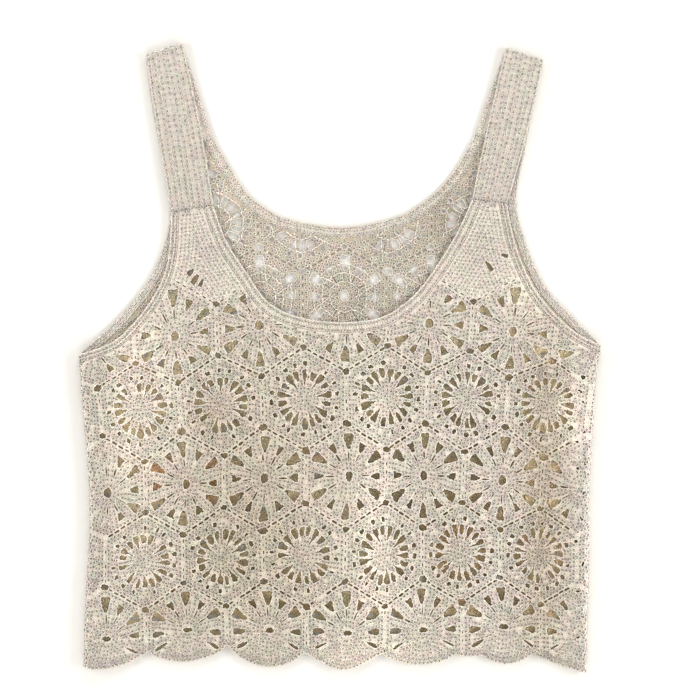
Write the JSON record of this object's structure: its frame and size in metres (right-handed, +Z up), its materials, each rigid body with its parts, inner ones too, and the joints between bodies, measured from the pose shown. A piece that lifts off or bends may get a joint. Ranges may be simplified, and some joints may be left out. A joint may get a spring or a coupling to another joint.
{
  "type": "crochet tank top",
  "caption": "Sleeveless crochet lace top laid flat, with a scooped neck, wide ribbed shoulder straps, hexagon motifs and a scalloped hem.",
  "frame": {"origin": "on the surface that the top lies on, under the middle of its bounding box", "axes": "+Z up from the surface, +Y from the hem to the shoulders, +X across the top to the right as seen from above the front"},
  "size_m": [0.4342, 0.5238, 0.007],
  "materials": {
    "front_cotton": "matt crocheted cotton yarn, natural cream",
    "back_cotton": "matt crocheted cotton yarn, natural cream",
    "strap_cotton": "matt ribbed crochet in cotton yarn, natural cream"
  },
  "bodies": {
    "root": {"front_panel": "front_cotton", "back_panel": "back_cotton", "front_neck_band": "front_cotton", "back_neck_band": "back_cotton", "front_armhole_band_left": "front_cotton", "front_armhole_band_right": "front_cotton", "back_armhole_band_left": "back_cotton", "back_armhole_band_right": "back_cotton", "strap_left": "strap_cotton", "strap_right": "strap_cotton"}
  },
  "joints": []
}
